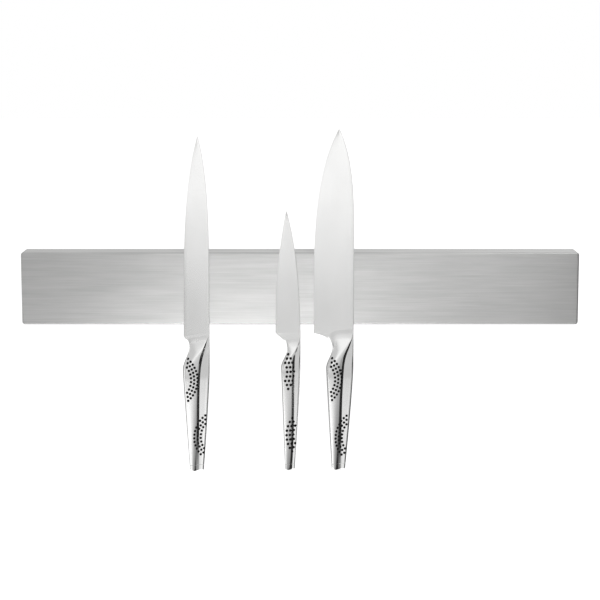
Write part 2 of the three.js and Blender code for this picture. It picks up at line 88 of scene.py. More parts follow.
KNIVES = {
    "carving_knife": {
        "spine_x": -89.5, "heel_z": -47, "thickness": 2, "handle": 137,
        "spine": [(0, 60), (0, 115), (0.8, 160), (10.1, 197)],
        "edge": [(24.8, 70), (24, 125), (19.7, 168), (10.7, 197)],
        "edge_start": 25.7,
        "heel": [(25.7, 0), (24.5, -4.5), (20.2, -4), (20.2, -10)],
        "neck": (20.2, -11), "palm": (26.8, -34), "butt": (6.7, 20.3), "blade_end": -3.4,
        "valley": [(0, 0.8), (6, 2.7), (12, 4.3), (18, 5.9), (24, 7.4), (34, 8.9), (54, 10.1),
                   (90, 10.8), (137, 11.5)],
        "wall": [(0, 0.3), (4, 0.4), (8, 1.2), (14, 2.1), (20, 2.7), (28, 2.8), (50, 2.4),
                 (90, 2.4), (137, 3)],
        "ridge": [(0, 1.1), (4, 1.4), (8, 2.2), (14, 3.3), (20, 4.2), (27, 4.9), (34, 5.4),
                  (44, 5.8), (137, 3.9)],
        "facet": [(0, 1.05), (8, 1.15), (14, 1.4), (20, 1.8), (27, 2.5), (34, 3.1), (44, 3.6),
                  (137, 2.3)],
        "lobe": 2.1, "lobe_power": 2, "facet_tilt": 13.5,
        "mouth": [(0, 1.2), (1, -3.4)],
        "dots": {
            "radius": 1.3,
            "upper": {"centre": (39.6, -43.2), "side": -1,
                      "arcs": [(27.7, 48.5, -48.5, 14), (24.5, 43, -43, 11), (21.4, 36, -36, 8)]},
            "lower": {"centre": (-12, -102), "side": 1,
                      "arcs": [(27.7, 53, -39, 13), (24.5, 47, -40, 11), (21.4, 38.5, -32, 8)]},
        },
    },
    "utility_knife": {
        "spine_x": 0.5, "heel_z": -44, "thickness": 1.8, "handle": 139,
        "spine": [(0, 0), (0.9, 40), (3.3, 85), (13.7, 121.5)],
        "edge": [(24.5, 25), (24.1, 60), (19.8, 92), (14.3, 121.5)],
        "edge_start": 24.8,
        "heel": [(24.8, 0), (20, -5.5), (13.6, -6.5), (13.4, -15)],
        "neck": (13.4, -17), "palm": (19.3, -34), "butt": (5.8, 15.4), "blade_end": -7.2,
        "valley": [(0, 0.2), (10, 1.2), (15, 2.8), (19, 4), (23, 5.2), (28, 5.7), (50, 6.1),
                   (80, 6.4), (110, 7), (139, 8.5)],
        "wall": [(0, 0.2), (7, 0.3), (12, 0.7), (17, 1.2), (23, 1.8), (30, 2.3), (40, 2.6),
                 (90, 2.4), (139, 2.2)],
        "ridge": [(0, 0.95), (7, 1.15), (12, 1.6), (17, 2.3), (23, 3.3), (30, 4.3), (40, 5),
                  (139, 3.5)],
        "facet": [(0, 0.92), (12, 1), (17, 1.3), (23, 1.8), (30, 2.4), (40, 2.8), (139, 1.9)],
        "lobe": 1.75, "lobe_power": 1.45, "facet_tilt": 10.5,
        "mouth": [(0, -5.2), (1, -7.2)],
        "dots": {
            "radius": 1.4,
            "upper": {"centre": (35.2, -38.2), "side": -1,
                      "arcs": [(28.7, 36.7, -36.7, 9), (25.4, 31, -31, 7), (22, 24, -24, 5)]},
            "lower": {"centre": (-14.8, -102.2), "side": 1,
                      "arcs": [(28.7, 36.7, -36.7, 9), (25.4, 31, -31, 7), (22, 24, -24, 5)]},
        },
    },
    "chef_knife": {
        "spine_x": 53, "heel_z": -44.5, "thickness": 2.2, "handle": 138,
        "spine": [(0, 100), (0, 140), (1.6, 175), (14.4, 201.5)],
        "edge": [(39.4, 60), (39, 125), (32.5, 171), (15.2, 201.5)],
        "edge_start": 39.4,
        "heel": [(39.4, 0), (30, -1.2), (22, -4), (20.8, -15)],
        "neck": (20.8, -14), "palm": (27.3, -35), "butt": (8, 21.3), "blade_end": -4.6,
        "valley": [(0, 0.2), (4, 1), (8, 2.2), (14, 4.2), (20, 6.5), (26, 8.2), (34, 9.4),
                   (50, 10.4), (70, 11.2), (110, 11.8), (138, 12.3)],
        "wall": [(0, 0.3), (5, 0.5), (9, 1.4), (15, 2.2), (22, 2.7), (30, 2.9), (50, 2.5),
                 (90, 2.7), (138, 3.2)],
        "ridge": [(0, 1.15), (5, 1.6), (9, 2.4), (15, 3.4), (21, 4.2), (28, 4.9), (35, 5.4),
                  (45, 5.8), (138, 3.9)],
        "facet": [(0, 1.12), (9, 1.2), (15, 1.5), (21, 1.9), (28, 2.5), (35, 3.1), (45, 3.5),
                  (138, 2.2)],
        "lobe": 2.2, "lobe_power": 2, "facet_tilt": 9.5,
        "mouth": [(0, 4.4), (0.5, 3.6), (0.78, 1.8), (1, -4.6)],
        "dots": {
            "radius": 1.3,
            "upper": {"centre": (39.6, -44.9), "side": -1,
                      "arcs": [(27.7, 48.5, -48.5, 14), (24.5, 43, -43, 11), (21.4, 36, -36, 8)]},
            "lower": {"centre": (-10, -104.7), "side": 1,
                      "arcs": [(27.7, 53, -39, 13), (24.5, 47, -40, 11), (21.4, 38.5, -32, 8)]},
        },
    },
}

# ---------------------------------------------------------------- curves


def smoothstep(low, high, x):
    """0 below low, 1 above high, and a smooth rise between them."""
    t = min(max((x - low) / (high - low), 0), 1)
    return t * t * (3 - 2 * t)


def bezier(points, t):
    """Point of a cubic Bezier curve at t from 0 to 1."""
    a, b, c, d = (1 - t) ** 3, 3 * t * (1 - t) ** 2, 3 * t * t * (1 - t), t ** 3
    return tuple(a * p + b * q + c * r + d * s for p, q, r, s in zip(*points))


def u_at(points, v):
    """u on a cubic at height v, by bisection."""
    rising = points[3][1] > points[0][1]
    low, high = 0.0, 1.0
    for _ in range(30):
        middle = (low + high) / 2
        if (bezier(points, middle)[1] < v) == rising:
            low = middle
        else:
            high = middle
    return bezier(points, low)[0]


def steps(start, stop, pitch):
    """Even numbers from start to stop, about a pitch apart."""
    count = max(2, round((stop - start) / pitch))
    return [start + (stop - start) * k / count for k in range(count + 1)]


def through(points, x):
    """A smooth curve through (x, y) points: cubic Hermite with limited slopes."""
    if x <= points[0][0]:
        return points[0][1]
    if x >= points[-1][0]:
        return points[-1][1]
    slopes = [(b[1] - a[1]) / (b[0] - a[0]) for a, b in zip(points, points[1:])]
    ends = [slopes[0]]
    for left, right in zip(slopes, slopes[1:]):
        ends.append(2 * left * right / (left + right) if left * right > 0 else 0)
    ends.append(slopes[-1])
    i = max(k for k in range(len(slopes)) if points[k][0] <= x)
    (x0, y0), (x1, y1) = points[i], points[i + 1]
    h = x1 - x0
    t = (x - x0) / h
    return (y0 * (2 * t ** 3 - 3 * t * t + 1) + h * ends[i] * (t ** 3 - 2 * t * t + t)
            + y1 * (3 * t * t - 2 * t ** 3) + h * ends[i + 1] * (t ** 3 - t * t))


def blade_span(knife, v):
    """Spine and cutting edge of the blade at height v."""
    spine = u_at(knife["spine"], v) if v > knife["spine"][0][1] else 0
    edge = knife["edge"]
    if v > edge[0][1]:
        return spine, u_at(edge, v)
    if v < 0:
        return spine, u_at(knife["heel"], v) if v > knife["heel"][3][1] else knife["neck"][0]
    share = v / edge[0][1]
    return spine, knife["edge_start"] + share * (edge[0][0] - knife["edge_start"])


def handle_span(knife, d):
    """Spine side and edge side of the handle at depth d below the heel."""
    (neck_u, neck_v), (palm_u, palm_v) = knife["neck"], knife["palm"]
    spine_end, edge_end = knife["butt"]
    length = knife["handle"]
    taper = max(0, (d + palm_v) / (length + palm_v))
    drop = max(0, d - SPINE_DROP["start"]) / (length - SPINE_DROP["start"])
    spine = spine_end * drop ** SPINE_DROP["power"]
    edge = palm_u - (palm_u - edge_end) * taper ** PALM_TAPER
    if d < -palm_v:
        edge = neck_u + (palm_u - neck_u) * smoothstep(-neck_v, -palm_v, d)
    if d < -neck_v:
        edge = blade_span(knife, -d)[1]
    return spine, edge


def ground_away(knife, u):
    """How much thinner than its spine the blade is at u: its front flank is a sloping plane."""
    flank = knife["edge_start"] - EDGE_BEVEL["width"]
    return (knife["thickness"] - EDGE_BEVEL["shoulder"]) * min(max(u / flank, 0), 1)


# ---------------------------------------------------------------- mesh helpers


def new_object(name, bm, materials):
    """Turns a finished bmesh into an object in the scene."""
    mesh = bpy.data.meshes.new(name)
    bmesh.ops.recalc_face_normals(bm, faces=bm.faces)
    bm.to_mesh(mesh)
    bm.free()
    piece = bpy.data.objects.new(name, mesh)
    bpy.context.collection.objects.link(piece)
    for material in materials:
        mesh.materials.append(material)
    return piece


def bridge(bm, first, second):
    """Joins two rings of as many vertices with a band of quads."""
    count = len(first)
    for i in range(count):
        j = (i + 1) % count
        bm.faces.new((first[i], first[j], second[j], second[i]))


def ring(bm, points):
    """Vertices at points given in millimetres."""
    return [bm.verts.new(Vector(p) * MM) for p in points]


def close_strip(bm, verts, shift):
    """Closes a long thin ring with cross faces: point i faces point count - shift - i."""
    count = len(verts)
    for i in range((count - shift) // 2):
        corners = (i, i + 1, count - shift - i - 1, count - shift - i)
        bm.faces.new(dict.fromkeys(verts[j % count] for j in corners))


def closed_tube(bm, rings, shift):
    """Bands between neighbouring rings, and cross faces over both ends."""
    for first, second in zip(rings, rings[1:]):
        bridge(bm, first, second)
    close_strip(bm, rings[0], shift)
    close_strip(bm, rings[-1], shift)


def smooth_by_angle(piece, degrees):
    """Smooth shading with hard lines where two faces meet at more than the angle."""
    bm = bmesh.new()
    bm.from_mesh(piece.data)
    for face in bm.faces:
        face.smooth = True
    for edge in bm.edges:
        edge.smooth = len(edge.link_faces) == 2 and edge.calc_face_angle() < math.radians(degrees)
    bm.to_mesh(piece.data)
    bm.free()


def apply_boolean(piece, cutter):
    """Cuts the cutter out of the piece; the cut faces take the cutter's material."""
    modifier = piece.modifiers.new("cut", "BOOLEAN")
    modifier.operation = "DIFFERENCE"
    modifier.solver = "EXACT"
    modifier.material_mode = "TRANSFER"
    modifier.object = cutter
    graph = bpy.context.evaluated_depsgraph_get()
    mesh = bpy.data.meshes.new_from_object(piece.evaluated_get(graph), depsgraph=graph)
    piece.modifiers.clear()
    old = piece.data
    piece.data = mesh
    bpy.data.meshes.remove(old)
    bpy.data.objects.remove(cutter)


def drop_folds(piece):
    """Triangulates a cut piece and deletes the slivers that lie folded face to face."""
    bm = bmesh.new()
    bm.from_mesh(piece.data)
    bmesh.ops.triangulate(bm, faces=bm.faces)
    same = {}
    for face in bm.faces:
        same.setdefault(frozenset(face.verts), []).append(face)
    folded = [face for faces in same.values() if len(faces) > 1 for face in faces]
    bmesh.ops.delete(bm, geom=folded, context="FACES")
    bm.to_mesh(piece.data)
    bm.free()


# ---------------------------------------------------------------- materials


class Nodes:
    """A material's node tree with short helpers around its Principled shader."""

    def __init__(self, name):
        self.material = bpy.data.materials.new(name)
        self.material.use_nodes = True
        self.tree = self.material.node_tree
        self.shader = self.tree.nodes["Principled BSDF"]
        self.place = self.tree.nodes.new("ShaderNodeTexCoord").outputs["Object"]

    def set(self, **values):
        """Sets the shader's own sockets; an underscore stands for a space."""
        for name, value in values.items():
            self.shader.inputs[name.replace("_", " ")].default_value = value

    def node(self, kind, **settings):
        made = self.tree.nodes.new(kind)
        for name, value in settings.items():
            setattr(made, name, value)
        return made

    def link(self, output, target):
        self.tree.links.new(output, target)

    def noise(self, stretch, scale, detail=2.0, roughness=0.5):
        """Noise whose pattern is drawn out by stretch along X, Y and Z."""
        mapping = self.node("ShaderNodeMapping")
        mapping.inputs["Scale"].default_value = stretch
        self.link(self.place, mapping.inputs["Vector"])
        noise = self.node("ShaderNodeTexNoise")
        noise.inputs["Scale"].default_value = scale
        noise.inputs["Detail"].default_value = detail
        noise.inputs["Roughness"].default_value = roughness
        self.link(mapping.outputs["Vector"], noise.inputs["Vector"])
        return noise.outputs["Fac"]

    def ramp(self, value, low, high, start=0.3, end=0.7):
        """Maps a 0..1 value to low..high, as a number or as a colour."""
        if isinstance(low, (int, float)):
            made = self.node("ShaderNodeMapRange")
            made.inputs["From Min"].default_value = start
            made.inputs["From Max"].default_value = end
            made.inputs["To Min"].default_value = low
            made.inputs["To Max"].default_value = high
            self.link(value, made.inputs["Value"])
            return made.outputs["Result"]
        made = self.node("ShaderNodeValToRGB")
        made.color_ramp.elements[0].position = start
        made.color_ramp.elements[1].position = end
        made.color_ramp.elements[0].color = (*low, 1)
        made.color_ramp.elements[1].color = (*high, 1)
        self.link(value, made.inputs["Fac"])
        return made.outputs["Color"]

    def bump(self, height, strength, distance):
        """Roughens the shader's normal; distance is in metres."""
        made = self.node("ShaderNodeBump")
        made.inputs["Strength"].default_value = strength
        made.inputs["Distance"].default_value = distance
        self.link(height, made.inputs["Height"])
        self.link(made.outputs["Normal"], self.shader.inputs["Normal"])


def grey(level):
    """A neutral colour."""
    return (level, level, level)


def brushed_cover():
    """Stainless sheet brushed along X: long fine lines that drift, and broad reflections."""
    m = Nodes("cover_brushed_steel")
    m.set(Metallic=0.86, Roughness=0.35, Anisotropic=0.8)
    fine = m.noise((0.018, 1, 1), 900, 3, 0.6)
    streak = m.noise((0.05, 1, 1), 260, 3, 0.55)
    drift = m.noise((0.25, 1, 1), 60, 2, 0.5)
    add = m.node("ShaderNodeMix", data_type="FLOAT")
    add.inputs["Factor"].default_value = 0.5
    m.link(fine, add.inputs["A"])
    m.link(streak, add.inputs["B"])
    both = m.node("ShaderNodeMix", data_type="FLOAT")
    both.inputs["Factor"].default_value = 0.25
    m.link(add.outputs["Result"], both.inputs["A"])
    m.link(drift, both.inputs["B"])
    lines = both.outputs["Result"]
    m.link(m.ramp(lines, (0.4, 0.4, 0.397), (0.505, 0.505, 0.501), 0.36, 0.64),
           m.shader.inputs["Base Color"])
    m.link(m.ramp(lines, 0.39, 0.31), m.shader.inputs["Roughness"])
    m.bump(lines, 0.25, 0.00006)
    across = m.node("ShaderNodeVectorMath", operation="CROSS_PRODUCT")
    geometry = m.node("ShaderNodeNewGeometry")
    m.link(geometry.outputs["Normal"], across.inputs[0])
    across.inputs[1].default_value = (1, 0.02, 0.02)
    m.link(across.outputs["Vector"], m.shader.inputs["Tangent"])
    return m.material


def satin_blade():
    """Blade steel with a fine satin finish ground across the blade."""
    m = Nodes("blade_satin_steel")
    m.set(Metallic=1.0, Roughness=0.2)
    grain = m.noise((0.3, 1, 1), 2400, 2, 0.6)
    cloud = m.noise((1, 1, 0.6), 38, 3, 0.5)
    m.link(m.ramp(cloud, (0.86, 0.86, 0.854), (0.9, 0.9, 0.894)), m.shader.inputs["Base Color"])
    m.link(m.ramp(grain, 0.18, 0.21), m.shader.inputs["Roughness"])
    m.bump(grain, 0.05, 0.00001)
    return m.material


def polished_handle():
    """Mirror-polished stainless steel with the faint haze that handling leaves."""
    m = Nodes("handle_polished_steel")
    m.set(Metallic=1.0, Base_Color=(0.9, 0.9, 0.895, 1))
    haze = m.noise((1, 1, 1), 120, 4, 0.6)
    ripple = m.noise((1, 1, 0.3), 45, 2, 0.5)
    m.link(m.ramp(haze, 0.09, 0.17), m.shader.inputs["Roughness"])
    m.bump(ripple, 0.05, 0.0003)
    return m.material


def dimple_black():
    """Matt black enamel in the handle's dimples."""
    m = Nodes("dimple_black")
    m.set(Base_Color=(0.006, 0.006, 0.006, 1), Roughness=0.75)
    m.shader.inputs["Specular IOR Level"].default_value = 0.15
    m.bump(m.noise((1, 1, 1), 3000, 2), 0.2, 0.00002)
    return m.material


def zinc_plate():
    """Zinc-plated steel with a fine spangle: iron, studs, nuts, hangers."""
    m = Nodes("zinc_plated_steel")
    m.set(Metallic=1.0)
    spangle = m.noise((1, 1, 1), 500, 3, 0.65)
    m.link(m.ramp(spangle, (0.5, 0.51, 0.53), (0.68, 0.69, 0.7)), m.shader.inputs["Base Color"])
    m.link(m.ramp(spangle, 0.28, 0.46), m.shader.inputs["Roughness"])
    m.bump(spangle, 0.15, 0.00004)
    return m.material


def moulded(name, low, high, scale=1400):
    """Moulded plastic with a fine spark-eroded grain."""
    m = Nodes(name)
    grain = m.noise((1, 1, 1), scale, 3, 0.6)
    cloud = m.noise((1, 1, 1), 25, 2, 0.5)
    m.link(m.ramp(cloud, low, high), m.shader.inputs["Base Color"])
    m.link(m.ramp(grain, 0.48, 0.64), m.shader.inputs["Roughness"])
    m.bump(grain, 0.35, 0.00008)
    return m.material


def rubber():
    """Dull black rubber of the wall pads."""
    m = Nodes("pad_rubber")
    speck = m.noise((1, 1, 1), 1800, 3, 0.7)
    m.link(m.ramp(speck, grey(0.028), grey(0.05)), m.shader.inputs["Base Color"])
    m.link(m.ramp(speck, 0.8, 0.95), m.shader.inputs["Roughness"])
    m.bump(speck, 0.5, 0.0001)
    return m.material


def ferrite():
    """Dark sintered magnet blocks."""
    m = Nodes("ferrite")
    grit = m.noise((1, 1, 1), 900, 4, 0.7)
    m.link(m.ramp(grit, grey(0.022), grey(0.045)), m.shader.inputs["Base Color"])
    m.link(m.ramp(grit, 0.6, 0.85), m.shader.inputs["Roughness"])
    m.bump(grit, 0.4, 0.0001)
    return m.material


def packed_sand():
    """The loose fill inside a handle."""
    m = Nodes("packed_sand")
    grit = m.noise((1, 1, 1), 2200, 4, 0.7)
    m.link(m.ramp(grit, (0.34, 0.27, 0.17), (0.62, 0.52, 0.36)), m.shader.inputs["Base Color"])
    m.set(Roughness=0.95)
    m.bump(grit, 0.6, 0.0003)
    return m.material


STEEL_COVER = brushed_cover()
STEEL_BLADE = satin_blade()
STEEL_HANDLE = polished_handle()
DIMPLE = dimple_black()

# ---------------------------------------------------------------- the rack's cover


def rounded_rectangle(half_x, half_z, radius, y, pieces=8):
    """Corner arcs of a rounded rectangle in the plane y, anticlockwise seen from -Y."""
    points = []
    corners = [(1, 1, 0), (-1, 1, 90), (-1, -1, 180), (1, -1, 270)]
    for sign_x, sign_z, start in corners:
        for k in range(pieces + 1):
            angle = math.radians(start + 90 * k / pieces)
            points.append((sign_x * (half_x - radius) + radius * math.cos(angle), y,
                           sign_z * (half_z - radius) + radius * math.sin(angle)))
    return points


def build_cover():
    """The pan: a face, a rolled bend all round, four walls and the sheet's own thickness."""
    length, height, sheet = RACK["length"] / 2, RACK["height"] / 2, RACK["sheet"]
    front = -RACK["depth"]
    bm = bmesh.new()

    def outline(inset, radius, y):
        return ring(bm, rounded_rectangle(length - inset, height - inset, radius, y))

    def folded(offset, bend, pieces=10):
        """Rings from the flat of the face, round the bend, to the open rim."""
        rings = []
        for k in range(pieces + 1):
            angle = math.pi / 2 * k / pieces
            inset = offset + bend * (1 - math.sin(angle))
            radius = max(RACK["corner"] - inset, 0.25)
            rings.append(outline(inset, radius, front + offset + bend * (1 - math.cos(angle))))
        return rings

    outer = folded(0, RACK["bend"])
    inner = folded(sheet, RACK["bend"] - sheet)
    outer.append(outline(0, RACK["corner"], 0))
    inner.append(outline(sheet, RACK["corner"] - sheet, 0))
    for rings in (outer, inner):
        for first, second in zip(rings, rings[1:]):
            bridge(bm, first, second)
        bm.faces.new(rings[0])
    bridge(bm, outer[-1], inner[-1])
    piece = new_object("cover_brushed_pan", bm, [STEEL_COVER])
    smooth_by_angle(piece, 25)
    return piece


# ---------------------------------------------------------------- knives


def place(knife, u, h, v):
    """A point of a knife in the rack's frame: h stands out from the blade's middle plane."""
    middle = BLADE_REAR - knife["thickness"] / 2
    return (knife["spine_x"] - u, middle - h, knife["heel_z"] + v)


def blade_section(knife, v):
    """Outline of the blade at height v as (u, y) with y = 0 on the flat rear flank."""
    tip = knife["edge"][3][1]
    spine, edge = blade_span(knife, v)
    width = edge - spine
    thickness = knife["thickness"] * (1 - BLADE_THINS_TO_TIP * max(v, 0) / tip)
    ground = smoothstep(-HEEL_FADE, HEEL_FADE, v)
    bevel = min(EDGE_BEVEL["width"], width * 0.3)
    shoulder = min(EDGE_BEVEL["shoulder"], thickness * 0.6)
    if v < 0:
        shoulder = thickness - ground_away(knife, edge)
    bevel *= 0.15 + 0.85 * ground
    sharp = shoulder + (EDGE_BEVEL["edge"] - shoulder) * ground
    r = min(SPINE_ROUND, thickness * 0.3, width * 0.2)
    start = spine + r
    swell = FLANK_SWELL["share"] * thickness * smoothstep(0, FLANK_SWELL["full_at"], v)
    front, rear = [], []
    for k in range(5):
        angle = math.radians(90 * k / 4)
        u = spine + r * (1 - math.cos(angle))
        front.append((u, -thickness + r * (1 - math.sin(angle))))
        rear.append((u, -r * (1 - math.sin(angle))))
    flank = 10
    for k in range(1, flank + 1):
        share = k / flank
        u = start + (edge - bevel - start) * share
        front.append((u, -thickness + (thickness - shoulder) * share
                      - swell * math.sin(math.pi * share)))
        rear.append((u, 0))
    front.append((edge, -shoulder / 2 - sharp / 2))
    rear.append((edge, -shoulder / 2 + sharp / 2))
    return front + rear[::-1]


def blade_heights(knife):
    """Heights of the blade's sections, close together at the tip and at the heel."""
    tip = knife["edge"][3][1]
    heights = [tip, tip - 0.15, tip - 0.4, tip - 0.8, tip - 1.4, tip - 2.2]
    v = tip - 3.2
    while v > 3.2:
        heights.append(v)
        v -= 2 if v < tip - 12 else 1.2
    return heights + [2.4, 1.6, 0.9, 0.3, 0, -0.3, -0.8] + steps(-1.2, knife["blade_end"], 0.7)


def build_tang(knife):
    """The narrow tongue that runs on from the blade, hidden in the handle."""
    bm = bmesh.new()
    near, far = (TANG[k] * knife["neck"][0] for k in ("from", "to"))
    half = TANG["thickness"] / 2
    top = knife["blade_end"]
    corners = [(near, -half), (near, half), (far, half), (far, -half)]
    first = ring(bm, [place(knife, u, h, top) for u, h in corners])
    last = ring(bm, [place(knife, u, h, top - TANG["length"]) for u, h in corners])
    bridge(bm, first, last)
    bm.faces.new(first)
    bm.faces.new(last)
    return new_object("tang", bm, [STEEL_BLADE])


def build_blade(name, knife):
    """The ground blade, whose lower end follows the border with the handle, and its tang."""
    bm = bmesh.new()
    rings = []
    for v in blade_heights(knife):
        spine, edge = blade_span(knife, v)
        points = []
        for u, y in blade_section(knife, v):
            shift = mouth_shift(knife, v, (u - spine) / (edge - spine))
            points.append((knife["spine_x"] - u, BLADE_REAR + y, knife["heel_z"] + v + shift))
        rings.append(ring(bm, points))
    closed_tube(bm, rings, 1)
    piece = new_object(f"{name}_blade_ground", bm, [STEEL_BLADE])
    join(piece, build_tang(knife))
    smooth_by_angle(piece, 20)
    return piece


def join(piece, other):
    """Moves the other object's faces into the piece's mesh."""
    bm = bmesh.new()
    bm.from_mesh(piece.data)
    bm.from_mesh(other.data)
    bm.to_mesh(piece.data)
    bm.free()
    bpy.data.objects.remove(other)


def mouth_shift(knife, v, share):
    """How far a point of the section at height v moves up, so that it follows the border.

    The share is the point's place across the width, 0 at the spine and 1 at the edge.
    """
    away = abs(v - knife["blade_end"])
    fade = 1 - smoothstep(0, MOUTH_FADE, away)
    return (through(knife["mouth"], share) - knife["blade_end"]) * fade


def shares(part):
    """Even shares from 0 up to, but not including, 1 for one part of the handle's section."""
    return [k / PIECES[part] for k in range(PIECES[part])]


def crest_profile(knife, d, inset=0.0):
    """Upper half of a handle section, spine to edge, as (u, height) in millimetres.

    A rounded corner at the spine turns onto a facet, almost flat, that rises to the valley of the
    crease. A steep wall stands on the valley, and from its ridge the wide lobe rises to a crest
    and rolls over to the cutting-edge side. In the neck the crest lies beside the ridge.
    """
    spine, edge = handle_span(knife, d)
    top = -knife["blade_end"]
    d_spine = d - mouth_shift(knife, -d, 0.2)
    width = edge - spine
    valley = max(through(knife["valley"], d_spine), spine + 0.03 * width)
    wall = through(knife["wall"], d_spine)
    low = through(knife["facet"], d_spine) - inset
    ridge = through(knife["ridge"], d_spine) - inset
    rise = LOBE_LEAST + knife["lobe"] * smoothstep(top + LOBE_STARTS, FULL_AT["lobe"], d)
    corner = SPINE_CORNER["mouth"] + SPINE_CORNER["growth"] * smoothstep(top, FULL_AT["corner"], d)
    corner = min(corner, SPINE_CORNER["most"] * (valley - spine))
    tilt = math.tan(math.radians(knife["facet_tilt"])) * smoothstep(top, FULL_AT["tilt"], d)
    bank = max(low - (valley - spine - corner) * tilt, FACET_LEAST * low)
    squash = (width - 2 * inset) / width
    start = valley + wall
    outwards = smoothstep(top + LOBE_STARTS, FULL_AT["crest"], d)
    crest = start + (edge - start) * (CREST_PLACE["mouth"] + CREST_PLACE["travel"] * outwards)
    high = ridge + rise
    points = []
    for t in shares("corner"):
        angle = math.pi / 2 * t
        points.append((spine + corner * (1 - math.cos(angle)), bank * math.sin(angle)))
    for t in shares("facet"):
        points.append((spine + corner + (valley - spine - corner) * t, bank + (low - bank) * t))
    for t in shares("wall"):
        points.append((valley + wall * t, low + (ridge - low) * t))
    for t in shares("lobe"):
        points.append((start + (crest - start) * t,
                       ridge + rise * (1 - (1 - t) ** knife["lobe_power"])))
    reach = edge - crest
    boxiness = ROLL_OVER["boxiness"] * (1 - smoothstep(0, WEDGE_FADE, d - top))
    power = ROLL_OVER["power"] + boxiness
    for t in shares("roll_over") + [1]:
        share = 1 - (1 - t) ** ROLL_OVER["crowding"]
        points.append((crest + reach * share, high * (1 - share ** power) ** 0.5))
    return [(spine + inset + (u - spine) * squash, h) for u, h in points]


def handle_ring(knife, d, inset=0.0, warp=True):
    """Whole section at depth d. Near the mouth it follows the blade's border and its wedge."""
    upper = crest_profile(knife, d, inset)
    spine, edge = upper[0][0], upper[-1][0]
    wedge = 1 - smoothstep(0, WEDGE_FADE, d + knife["blade_end"])
    points = []
    for side, half in ((1, upper), (-1, upper[-2:0:-1])):
        for u, h in half:
            lost = ground_away(knife, u) * wedge
            height = side * h * (1 - lost / knife["thickness"]) - lost / 2
            shift = mouth_shift(knife, -d, (u - spine) / (edge - spine)) if warp else 0
            points.append(place(knife, u, height, -d + shift))
    return points


def dimple_cutters(knife):
    """One short drum per dimple, front and rear, square to the surface it sinks into."""
    bm = bmesh.new()
    for patch in (knife["dots"]["upper"], knife["dots"]["lower"]):
        centre_u, centre_v = patch["centre"]
        for arc, first, last, count in patch["arcs"]:
            for k in range(count):
                angle = math.radians(first + (last - first) * k / (count - 1))
                u = centre_u + patch["side"] * arc * math.cos(angle)
                v = centre_v + arc * math.sin(angle)
                for face in (1, -1):
                    drum(bm, knife, u, v, face)
    return new_object("dimple_drums", bm, [DIMPLE])


def surface(knife, u, d):
    """Height of the handle's skin over the middle plane at (u, depth d)."""
    points = crest_profile(knife, d)
    for (u0, h0), (u1, h1) in zip(points, points[1:]):
        if u0 <= u <= u1 and u1 > u0:
            return h0 + (h1 - h0) * (u - u0) / (u1 - u0)
    return None


def drum(bm, knife, u, v, face):
    """A closed drum through the skin at (u, v), on the front (face 1) or the rear (face -1)."""
    reach, limit = DIMPLE_SHAPE["slope_reach"], DIMPLE_SHAPE["slope_limit"]
    height = surface(knife, u, -v)
    left = surface(knife, u + reach, -v)
    right = surface(knife, u - reach, -v)
    if None in (height, left, right):
        return
    slope = max(-limit, min(limit, (left - right) / (2 * reach)))
    normal = Vector((slope, -face, 0)).normalized()
    up = Vector((0, 0, 1))
    across = up.cross(normal)
    centre = Vector(place(knife, u, face * height, v))
    radius, sides = knife["dots"]["radius"], DIMPLE_SHAPE["sides"]
    turns = [2 * math.pi * k / sides for k in range(sides)]
    inner, outer = [], []
    for rim, offset in ((inner, -DIMPLE_SHAPE["sink"]), (outer, DIMPLE_SHAPE["stand"])):
        for turn in turns:
            spoke = math.cos(turn) * across + math.sin(turn) * up
            rim.append(centre + normal * offset + radius * spoke)
    inner, outer = ring(bm, inner), ring(bm, outer)
    bridge(bm, inner, outer)
    bm.faces.new(inner)
    bm.faces.new(outer)


def build_handle(name, knife):
    """The handle's skin from the border with the blade down to the cap's seam, dimples cut in."""
    top = -knife["blade_end"]
    bottom = knife["handle"] - CAP_LENGTH - CAP_SEAM
    bm = bmesh.new()
    rings = [ring(bm, handle_ring(knife, d)) for d in steps(top, 45, 0.9) + steps(46, bottom, 1.6)]
    closed_tube(bm, rings, 0)
    piece = new_object(f"{name}_handle_shell", bm, [STEEL_HANDLE, DIMPLE])
    apply_boolean(piece, dimple_cutters(knife))
    drop_folds(piece)
    smooth_by_angle(piece, 24)
    return piece


def build_cap(name, knife):
    """Butt cap: the handle's own section, rolled in over the last few millimetres."""
    end = knife["handle"]
    start = end - CAP_LENGTH + CAP_SEAM
    bm = bmesh.new()
    sections = [(d, 0.0) for d in steps(start, end - CAP_ROLL, 0.9)]
    sections[0] = (start, 0.18)
    sections.insert(1, (start + 0.12, 0.04))
    for k in range(1, 9):
        angle = math.pi / 2 * k / 8
        inset = CAP_ROLL * (1 - math.cos(angle))
        sections.append((end - CAP_ROLL + CAP_ROLL * math.sin(angle), inset))
    rings = [ring(bm, handle_ring(knife, d, inset, warp=False)) for d, inset in sections]
    closed_tube(bm, rings, 0)
    piece = new_object(f"{name}_butt_cap_rolled", bm, [STEEL_HANDLE])
    smooth_by_angle(piece, 24)
    return piece


# ---------------------------------------------------------------- assembly


def replace(piece, body, slot, *nodes):
    """Ties a piece to its body, in place of the CAD nodes it stands for; the material slot is not
    used.
    """
    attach(piece, body)
    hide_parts(*nodes)


replace(build_cover(), "rack", "cover_steel", "front_cover")
for name, knife in KNIVES.items():
    replace(build_blade(name, knife), name, "blade_steel", f"{name}_blade")
    replace(build_handle(name, knife), name, "handle_steel", f"{name}_handle_front",
            f"{name}_handle_rear")
    replace(build_cap(name, knife), name, "handle_steel", f"{name}_butt_cap")

